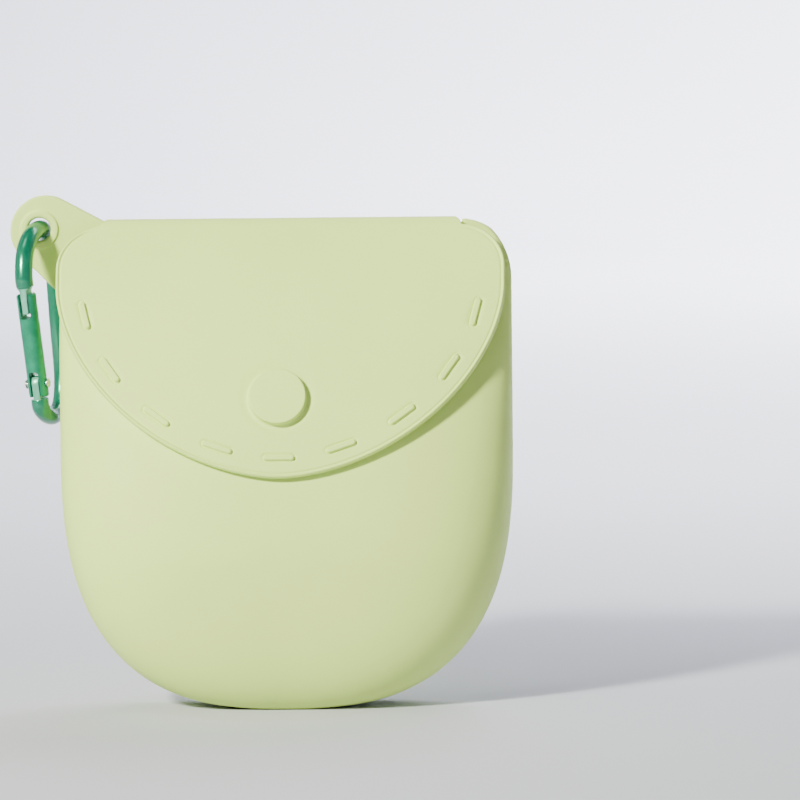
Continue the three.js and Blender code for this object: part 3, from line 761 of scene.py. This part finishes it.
def milled_ring(middle, side, radius, half_flat, depth=None):
    """A ring round the rod, milled flat to half_flat on both faces. Side is the in-plane direction."""
    turns = full_turn(72)
    x = np.clip(radius * np.cos(turns), -half_flat, half_flat)
    p = (depth or radius) * np.sin(turns)
    return np.concatenate([x[:, None], middle + p[:, None] * side], 1)


def frame_rings():
    """Rings from the hinge tongue's round top, down it and round the rod to the nose tongue's end."""
    down = on_gate_axis(0) - on_gate_axis(1)
    across = np.array([-down[1], down[0]])
    tongue = HINGE_TONGUE_T / 2
    tip_rounding, tip_power = 0.12, 8
    rings = []
    for angle in np.linspace(HINGE_ARC, 0, 16):
        middle = on_gate_axis(TONGUE_R * math.sin(angle))
        flat = tongue - tip_rounding * math.sin(angle) ** tip_power
        depth = max(TONGUE_R * math.cos(angle), HINGE_TIP_R)
        rings.append(milled_ring(middle, across, TONGUE_R, flat, depth))

    # heights over the rivet, radii and half thicknesses down the tongue and out over its shoulder
    tongue_rows = [(-0.8, TONGUE_R, tongue), (-1.7, TONGUE_R, tongue), (-2.6, TONGUE_R, tongue),
                   (-3.4, TONGUE_R, tongue), (-3.75, TONGUE_R, tongue + 0.02),
                   (-3.86, TONGUE_R, tongue + 0.12), (-3.9, TONGUE_R, tongue + 0.4),
                   (-3.92, 2.12, 1.9), (-4.0, 2.18, 2.1), (-4.2, ROD_R, ROD_R)]
    for height, radius, flat in tongue_rows:
        rings.append(milled_ring(on_gate_axis(height), across, radius, flat))
    knots = [
        on_gate_axis(HINGE_BLOCK - 0.6),
        on_gate_axis(HINGE_BLOCK - STRAIGHT_END),
        *ROD_BENDS,
        on_gate_axis(NOSE_END + STRAIGHT_END),
        on_gate_axis(NOSE_END + 0.35),
    ]
    path = smooth_path(knots, 18)
    along = np.gradient(path, axis=0)
    along /= np.linalg.norm(along, axis=1, keepdims=True)
    for middle, way in zip(path, along):
        rings.append(milled_ring(middle, np.array([-way[1], way[0]]), ROD_R, ROD_R))

    # the rod thins to the nose tongue through a chamfer and a long slight flare
    nose = NOSE_TONGUE_T / 2
    nose_drops = (0, 0.12, 0.24, 0.36, 0.5, 0.65, 0.8, 1.0, 1.3, 1.7, 2.2, 3.0, 4.0, 5.4, 6.4)
    for drop in nose_drops:
        radius = TONGUE_R + (ROD_R - TONGUE_R) * math.exp(-(drop / NOSE_ROUNDING) ** 2)
        chamfer = (ROD_R - nose - NOSE_FLARE) * math.exp(-(drop / NOSE_CHAMFER) ** 1.5)
        flat = nose + chamfer + NOSE_FLARE * math.exp(-drop / NOSE_FLARE_FADE)
        rings.append(milled_ring(on_gate_axis(NOSE_END - drop), across, radius, flat))
    for angle in quarter_turn(7):
        inset = NOSE_TIP_R * (1 - math.cos(angle))
        height = NOSE_TONGUE_END + NOSE_TIP_R * (1 - math.sin(angle))
        rings.append(milled_ring(on_gate_axis(height), across, TONGUE_R - inset, nose - inset))
    return [placed(ring, CARABINER_FRAME) for ring in rings]


def lathe_rings(profile, sides=72, axis="Z"):
    """Rings of radius and height about the local Z axis, or about X."""
    turns = full_turn(sides)
    rings = []
    for radius, height in profile:
        a, b = radius * np.cos(turns), radius * np.sin(turns)
        flat = np.full(sides, float(height))
        rings.append(np.stack([a, b, flat] if axis == "Z" else [flat, a, b], 1))
    return rings


def scratch_solid(points, faces):
    """A solid in millimetres for cutting with, not yet a piece."""
    mesh = bpy.data.meshes.new("scratch")
    mesh.from_pydata(np.asarray(points, float).tolist(), [], faces)
    made = bmesh.new()
    made.from_mesh(mesh)
    bmesh.ops.recalc_face_normals(made, faces=made.faces)
    made.to_mesh(mesh)
    made.free()
    solid = bpy.data.objects.new("scratch", mesh)
    bpy.context.scene.collection.objects.link(solid)
    return solid


def scratch_prism(outline, y0, y1):
    """A prism along Y from an outline in X and Z."""
    count = len(outline)
    points = [(x, y, z) for y in (y0, y1) for x, z in outline]
    faces = [tuple(range(count)), tuple(range(2 * count - 1, count - 1, -1))]
    faces += [(i, (i + 1) % count, count + (i + 1) % count, count + i) for i in range(count)]
    return scratch_solid(points, faces)


def carved(solid, cutters, bevel):
    """The mesh of a solid less its cutters, with its sharp edges bevelled."""
    for cutter, operation in cutters:
        step = solid.modifiers.new("cut", "BOOLEAN")
        step.object = cutter
        step.operation = operation
        step.solver = "EXACT"
    edge = solid.modifiers.new("edge", "BEVEL")
    edge.width = bevel
    edge.segments = 2
    edge.limit_method = "ANGLE"
    edge.angle_limit = math.radians(40)
    edge.miter_outer = "MITER_ARC"
    edge.use_clamp_overlap = True
    bpy.context.view_layer.update()
    finished = solid.evaluated_get(bpy.context.evaluated_depsgraph_get())
    mesh = bpy.data.meshes.new_from_object(finished)
    for done in [solid] + [cutter for cutter, operation in cutters]:
        bpy.data.objects.remove(done)
    return mesh


def gate_mesh():
    """The gate tube: slotted at both ends, bored for the spring, with round cheeks at the rivet."""
    wide = 2 * GATE_R
    past = 1
    turned = [(GATE_R - GATE_CHAMFER, GATE_BOTTOM), (GATE_R, GATE_BOTTOM + GATE_CHAMFER),
              (GATE_R, GATE_TOP - GATE_CHAMFER), (GATE_R - GATE_CHAMFER, GATE_TOP)]
    body = scratch_solid(*ring_skin(lathe_rings(turned, 64)))
    bored = [(GATE_BORE_R, GATE_BOTTOM - past), (GATE_BORE_R, GATE_BORE_TOP)]
    bore = scratch_solid(*ring_skin(lathe_rings(bored, 48)))

    def slot(half, end, open_end):
        """A slot whose closed end is dished like a cutter's path."""
        dish = math.copysign(SLOT_DISH, open_end - end)
        closed = [(half * math.cos(a), end + dish * (1 - math.sin(a))) for a in np.linspace(0, math.pi, 17)]
        return scratch_prism([(half, open_end)] + closed + [(-half, open_end)], -wide, wide)

    nose_slot = slot(NOSE_SLOT / 2, NOSE_SLOT_END, GATE_TOP + past)
    hinge_slot = slot(HINGE_SLOT / 2, HINGE_SLOT_END, GATE_BOTTOM - past)
    cheek_r = -GATE_BOTTOM
    cheek_top = GATE_TOP + 2 * past
    arc = [(cheek_r * math.cos(a), cheek_r * math.sin(a)) for a in np.linspace(math.pi, 2 * math.pi, 25)]
    above = [(wide, 0), (wide, cheek_top), (-wide, cheek_top), (-wide, 0)]
    cheek = scratch_prism(arc + above, -wide, wide)
    cheek.matrix_world = Matrix.Rotation(math.pi / 2, 4, "Z")
    cuts = [(bore, "DIFFERENCE"), (nose_slot, "DIFFERENCE"), (hinge_slot, "DIFFERENCE"), (cheek, "INTERSECT")]
    return carved(body, cuts, GATE_BEVEL)


def piece_from(name, mesh, frame_matrix, material):
    """A piece from a millimetre mesh in its own frame."""
    mesh.transform(Matrix.Scale(MM, 4) @ frame_matrix)
    mesh.name = name
    mesh.polygons.foreach_set("use_smooth", [True] * len(mesh.polygons))
    mesh.set_sharp_from_angle(angle=math.radians(34))
    mesh.materials.clear()
    mesh.materials.append(material)
    piece = bpy.data.objects.new(name, mesh)
    bpy.context.scene.collection.objects.link(piece)
    return piece


def turned_piece(name, profile, frame_matrix, material, axis="Z", sides=72):
    """A lathe-turned piece in a frame."""
    rings = [placed(ring, frame_matrix) for ring in lathe_rings(profile, sides, axis)]
    piece = mesh_object(name, *ring_skin(rings), material)
    piece.data.set_sharp_from_angle(angle=math.radians(50))
    return piece


def rivet_profile():
    """A shank between two domed heads, with a small flat turned at the middle of each."""
    shank_end = RIVET_HALF_LENGTH - RIVET_HEAD_T
    half = [(RIVET_R, 0), (RIVET_R, shank_end), (RIVET_HEAD_R - RIVET_RIM_R, shank_end),
            (RIVET_HEAD_R, shank_end + RIVET_RIM_R)]
    dome_foot = shank_end + RIVET_RIM_T
    dome_height = RIVET_HEAD_T - RIVET_RIM_T
    half += [(RIVET_HEAD_R * math.cos(a), dome_foot + dome_height * math.sin(a))
             for a in np.linspace(0, math.radians(80), 9)]
    return [(r, -z) for r, z in half[::-1]] + half[1:]


def spring_rings():
    """The gate's coil spring, with its end turns closed up."""
    start = TONGUE_R + PLUNGER_LENGTH + 2 * CLEARANCE + SPRING_WIRE_R
    end = GATE_BORE_TOP - CLEARANCE - SPRING_WIRE_R
    turn = np.linspace(0, 1, 28 * SPRING_TURNS)
    eased = turn + SPRING_END_CLOSING * np.sin(2 * math.pi * turn)
    height = start + (end - start) * eased
    angle = 2 * math.pi * SPRING_TURNS * turn
    path = np.stack([SPRING_R * np.cos(angle), SPRING_R * np.sin(angle), height], 1)
    along = np.gradient(path, axis=0)
    along /= np.linalg.norm(along, axis=1, keepdims=True)
    outward = np.stack([np.cos(angle), np.sin(angle), 0 * angle], 1)
    up = np.cross(along, outward)
    wire = full_turn(14)[:, None]
    rings = []
    for middle, a, b in zip(path, outward, up):
        ring = middle + SPRING_WIRE_R * (np.cos(wire) * a + np.sin(wire) * b)
        rings.append(placed(ring, GATE_FRAME))
    return rings


def on_front(x, z, distance):
    """A frame a distance out of the pouch's front, with +Z along the outward normal."""
    y, lifted = (float(value) for value in out_of_front(z, distance))
    tilt = math.pi / 2 - float(lean_at(z))
    return Matrix.Translation((x, y, lifted)) @ Matrix.Rotation(tilt, 4, "X")


# ---- materials ----------------------------------------------------------------------------------

POUCH_TINT = (0.63, 0.82, 0.2)
GREEN = ((0.008, 0.19, 0.105), (0.011, 0.225, 0.125))
SATIN_GREEN = ((0.005, 0.22, 0.115), (0.01, 0.28, 0.155))
MINT = ((0.12, 0.44, 0.29), (0.24, 0.6, 0.45))
STEEL = ((0.62, 0.62, 0.6), (0.75, 0.74, 0.71))
NICKEL = ((0.66, 0.65, 0.62), (0.74, 0.73, 0.7))
PAPER = ((0.5, 0.51, 0.59), (0.53, 0.54, 0.62))


def node_material(name):
    """A new node material, with its tree and its shader."""
    material = bpy.data.materials.new(name)
    material.use_nodes = True
    tree = material.node_tree
    return material, tree, tree.nodes["Principled BSDF"]


def noise(tree, scale, detail=3.0, roughness=0.55):
    """Cloudy noise fixed to the object."""
    place = tree.nodes.new("ShaderNodeTexCoord")
    texture = tree.nodes.new("ShaderNodeTexNoise")
    texture.inputs["Scale"].default_value = scale
    texture.inputs["Detail"].default_value = detail
    texture.inputs["Roughness"].default_value = roughness
    tree.links.new(place.outputs["Object"], texture.inputs["Vector"])
    return texture.outputs["Fac"]


def tinted(tree, shader, source, tints, low=0.35, high=0.65):
    """Colours the shader between two tints as the source goes from low to high."""
    node = tree.nodes.new("ShaderNodeValToRGB")
    for element, position, tint in zip(node.color_ramp.elements, (low, high), tints):
        element.position = position
        element.color = (*tint, 1)
    tree.links.new(source, node.inputs["Fac"])
    tree.links.new(node.outputs["Color"], shader.inputs["Base Color"])


def roughened(tree, shader, source, rough):
    """Varies the shader's roughness between two values with the source."""
    node = tree.nodes.new("ShaderNodeMapRange")
    node.inputs["From Min"].default_value = 0.3
    node.inputs["From Max"].default_value = 0.7
    node.inputs["To Min"].default_value = rough[0]
    node.inputs["To Max"].default_value = rough[1]
    tree.links.new(source, node.inputs["Value"])
    tree.links.new(node.outputs["Result"], shader.inputs["Roughness"])


def grained(tree, shader, source, strength, distance):
    """Adds a fine bump from the source to the shader."""
    bump = tree.nodes.new("ShaderNodeBump")
    bump.inputs["Strength"].default_value = strength
    bump.inputs["Distance"].default_value = distance
    tree.links.new(source, bump.inputs["Height"])
    tree.links.new(bump.outputs["Normal"], shader.inputs["Normal"])


def silicone(name, tint):
    """Matte moulded silicone: faintly cloudy, with a fine grain and a soft sheen."""
    material, tree, shader = node_material(name)
    dark = tuple(value * 0.965 for value in tint)
    light = tuple(min(value * 1.02, 1) for value in tint)
    tinted(tree, shader, noise(tree, 22, 4), (dark, light))
    roughened(tree, shader, noise(tree, 260, 5), (0.5, 0.62))
    grained(tree, shader, noise(tree, 2600, 2), 0.12, 0.00008)
    shader.inputs["Specular IOR Level"].default_value = 0.3
    shader.inputs["Sheen Weight"].default_value = 0.03
    shader.inputs["Sheen Roughness"].default_value = 0.4
    shader.inputs["Subsurface Weight"].default_value = 0.05
    shader.inputs["Subsurface Radius"].default_value = (0.004, 0.0035, 0.002)
    return material


def metal(name, tints, rough, grain, metallic=1.0, coat=0.0):
    """Metal with slight cloudiness, uneven polish and fine grain."""
    material, tree, shader = node_material(name)
    tinted(tree, shader, noise(tree, 420, 4), tints)
    roughened(tree, shader, noise(tree, 700, 4), rough)
    grained(tree, shader, noise(tree, 3500, 2), grain, 0.00003)
    shader.inputs["Metallic"].default_value = metallic
    shader.inputs["Coat Weight"].default_value = coat
    shader.inputs["Coat Roughness"].default_value = 0.12
    return material


polished = metal("polished_green", GREEN, (0.2, 0.26), 0.03, metallic=0.5, coat=0.5)
satin = metal("satin_green", SATIN_GREEN, (0.34, 0.44), 0.3, metallic=0.5)
milled = metal("milled_mint", MINT, (0.34, 0.5), 0.5, metallic=0.6)
plated = metal("plated_steel", STEEL, (0.2, 0.36), 0.2)
nickel = metal("magnet_nickel", NICKEL, (0.1, 0.2), 0.05)
pouch_silicone = silicone("pouch_silicone", POUCH_TINT)


# ---- pieces -------------------------------------------------------------------------------------

shell = mesh_object("pouch_shell", *ring_skin(shell_rings()), pouch_silicone)
tab = mesh_object("hanging_tab", *loop_skin(tab_rings()), pouch_silicone)
for piece in (shell, tab):
    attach(piece, "pouch")
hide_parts("pouch_body")

# the flap's skin runs up out of the back wall's top, round the fold and down the front
flap_skin = mesh_object("flap_skin", *ring_skin(flap_rings()), pouch_silicone)
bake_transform(flap_skin)
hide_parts("flap")


def show_milled_faces(piece):
    """Gives the two tongues the paler milled finish."""
    piece.data.materials.append(milled)
    to_gate = (Matrix.Scale(MM, 4) @ GATE_FRAME).inverted()
    for face in piece.data.polygons:
        at = to_gate @ face.center
        on_axis = math.hypot(at.x, at.y) < ROD_R + 0.2
        on_nose = NOSE_TONGUE_END - 0.5 < at.z < NOSE_END - 0.55
        on_hinge = HINGE_BLOCK - 0.03 < at.z < TONGUE_R + 0.5
        if on_axis and (on_nose or on_hinge):
            face.material_index = 1


frame_rod = mesh_object("carabiner_rod", *ring_skin(frame_rings()), polished)
frame_rod.data.set_sharp_from_angle(angle=math.radians(38))
show_milled_faces(frame_rod)
gate = piece_from("gate_tube", gate_mesh(), GATE_FRAME, satin)
rivet = turned_piece("gate_rivet_domed", rivet_profile(), GATE_FRAME, plated, "X", 48)
plunger_start = TONGUE_R + CLEARANCE
plunger_end = plunger_start + PLUNGER_LENGTH
plunger_profile = [
    (PLUNGER_R - 0.25, plunger_start), (PLUNGER_R, plunger_start + 0.25),
    (PLUNGER_R, plunger_end - 0.7), (SPRING_R - 0.3, plunger_end - 0.6), (SPRING_R - 0.35, plunger_end),
]
plunger = turned_piece("gate_plunger_turned", plunger_profile, GATE_FRAME, plated, "Z", 48)
spring = mesh_object("gate_coil_spring", *ring_skin(spring_rings()), plated)
carabiner_pieces = [
    (frame_rod, "carabiner", "anodised_green", "carabiner_frame"),
    (rivet, "carabiner", "steel", "gate_rivet"),
    (gate, "gate", "anodised_green", "carabiner_gate"),
    (plunger, "gate", "steel", "gate_plunger"),
    (spring, "gate", "steel", "gate_spring"),
]
for piece, body, finish, node in carabiner_pieces:
    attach(piece, body)
    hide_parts(node)


def magnet_set(side, frame_matrix, mouth, body):
    """A nickel-plated disc magnet and the silicone plug over it, in a pocket that opens at mouth."""
    plug_end = mouth + PLUG_T
    low = plug_end + CLEARANCE
    high = low + MAGNET_T
    lower_half = [(1.0, 0), (2.6, 0), (MAGNET_R - 0.2, 0), (MAGNET_R - 0.06, 0.06), (MAGNET_R, 0.2)]
    disc_profile = [(radius, low + rise) for radius, rise in lower_half]
    disc_profile += [(radius, high - rise) for radius, rise in lower_half[::-1]]
    plug_profile = [
        (0.5, mouth + 0.12), (1.6, mouth + 0.1), (2.8, mouth + 0.04), (MAGNET_R - 0.35, mouth),
        (MAGNET_R - 0.1, mouth + 0.06), (MAGNET_R, mouth + 0.2), (MAGNET_R, plug_end), (1.0, plug_end),
    ]
    disc = turned_piece(f"{side}_magnet_disc", disc_profile, frame_matrix, nickel)
    plug = turned_piece(f"{side}_magnet_cap", plug_profile, frame_matrix, pouch_silicone)
    for piece, finish, node in ((disc, "magnet", "magnet"), (plug, "silicone", "magnet_plug")):
        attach(piece, body)
        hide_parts(f"{side}_{node}")


magnet_set("flap", on_front(BUTTON_X, BUTTON_Z, FLAP_OUT), -FLAP_T, "flap")
wall_frame = on_front(BUTTON_X, BUTTON_Z, 0)
wall_mouth = -WALL - BOSS_H
magnet_set("wall", wall_frame, wall_mouth, "pouch")

# the boss: up the pocket's side, over its rim and down the outside to a fillet sunk in the wall
boss_profile = [
    (POCKET_R, 0.3 - WALL), (POCKET_R, wall_mouth + 0.3), (POCKET_R + 0.08, wall_mouth + 0.08),
    (POCKET_R + 0.3, wall_mouth), (BOSS_R - 0.5, wall_mouth), (BOSS_R - 0.15, wall_mouth + 0.15),
    (BOSS_R, wall_mouth + 0.5), (BOSS_R, -0.6 - WALL), (BOSS_R + 0.15, -0.25 - WALL),
    (BOSS_R + 0.6, 0.02 - WALL), (BOSS_R + 0.6, 0.3 - WALL),
]
boss_loop = [placed(ring, wall_frame) for ring in lathe_rings(boss_profile, 96)]
boss = mesh_object("magnet_boss", *loop_skin(boss_loop), pouch_silicone)
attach(boss, "pouch")

# ---- studio -------------------------------------------------------------------------------------

FLOOR_REACH = 1900
FLOOR_BEND_R = 700
BACKDROP_TOP = 2600
MIDDLE = (0.0, 0.0, 0.065)


def studio_sweep():
    """A pale floor that curves up all round into a backdrop."""
    material, tree, shader = node_material("studio_paper")
    tinted(tree, shader, noise(tree, 3, 2), PAPER, 0.3, 0.7)
    shader.inputs["Roughness"].default_value = 0.9
    profile = [(FLOOR_REACH * share, 0) for share in (0.1, 0.3, 0.6, 1)]
    profile += [(FLOOR_REACH + FLOOR_BEND_R * math.sin(a), FLOOR_BEND_R * (1 - math.cos(a)))
                for a in quarter_turn(20)[1:]]
    profile += [(FLOOR_REACH + FLOOR_BEND_R, BACKDROP_TOP)]
    turns = full_turn(96)
    points = [(0, 0, 0)] + [(r * math.cos(a), r * math.sin(a), z) for r, z in profile for a in turns]
    count = len(turns)
    faces = [(0, 1 + i, 1 + (i + 1) % count) for i in range(count)]
    for row in range(len(profile) - 1):
        low = 1 + row * count
        for i in range(count):
            ahead = (i + 1) % count
            faces.append((low + i, low + ahead, low + count + ahead, low + count + i))
    return mesh_object("studio_sweep", points, faces, material)


def area_light(name, place, aim, size, power, tint=(1, 1, 1), beam=math.pi):
    """A round soft light at a place, facing aim."""
    light = bpy.data.lights.new(name, "AREA")
    light.shape = "DISK"
    light.size = size
    light.energy = power
    light.color = tint
    light.spread = beam
    lamp = bpy.data.objects.new(name, light)
    lamp.location = place
    lamp.rotation_euler = (Vector(aim) - Vector(place)).to_track_quat("-Z", "Y").to_euler()
    bpy.context.scene.collection.objects.link(lamp)


studio_sweep()
area_light("key", (-0.95, -1.2, 0.98), MIDDLE, 0.26, 82, tint=(1, 1, 0.82))
area_light("top", (-0.35, -0.1, 1.5), MIDDLE, 0.6, 3)
area_light("backdrop", (0.4, 1.3, 1.3), (0.4, 2.0, 0.0), 0.9, 52, beam=math.radians(85))
area_light("floor_wash", (0.35, 0.8, 0.7), (0.35, 0.85, 0.0), 1.0, 20, beam=math.radians(125))

world = bpy.data.worlds.new("studio")
world.use_nodes = True
glow = world.node_tree.nodes["Background"]
glow.inputs["Color"].default_value = (0.5, 0.55, 1, 1)
glow.inputs["Strength"].default_value = 0.05
bpy.context.scene.world = world

# the camera looks slightly down and from slightly right, and the pouch stands left of the middle
VIEW_TURN = math.radians(1.4)
VIEW_RISE = math.radians(5)
VIEW_ROLL = math.radians(0.65)
VIEW_DISTANCE = 1.5
VIEW_WIDTH = 0.2022
VIEW_AIM = Vector((0.02906, 0, 0.0776))
SENSOR_WIDTH = 36
view_lens = bpy.data.cameras.new("studio_camera")
view_lens.sensor_width = SENSOR_WIDTH
view_lens.lens = SENSOR_WIDTH * VIEW_DISTANCE / VIEW_WIDTH
view_lens.clip_start = 0.05
view_lens.clip_end = 20
camera = bpy.data.objects.new("studio_camera", view_lens)
level = math.cos(VIEW_RISE)
back = Vector((math.sin(VIEW_TURN) * level, -math.cos(VIEW_TURN) * level, math.sin(VIEW_RISE)))
camera.location = VIEW_AIM + back * VIEW_DISTANCE
upright = (-back).to_track_quat("-Z", "Y").to_matrix().to_4x4()
camera.rotation_euler = (upright @ Matrix.Rotation(-VIEW_ROLL, 4, "Z")).to_euler()
bpy.context.scene.collection.objects.link(camera)
bpy.context.scene.camera = camera
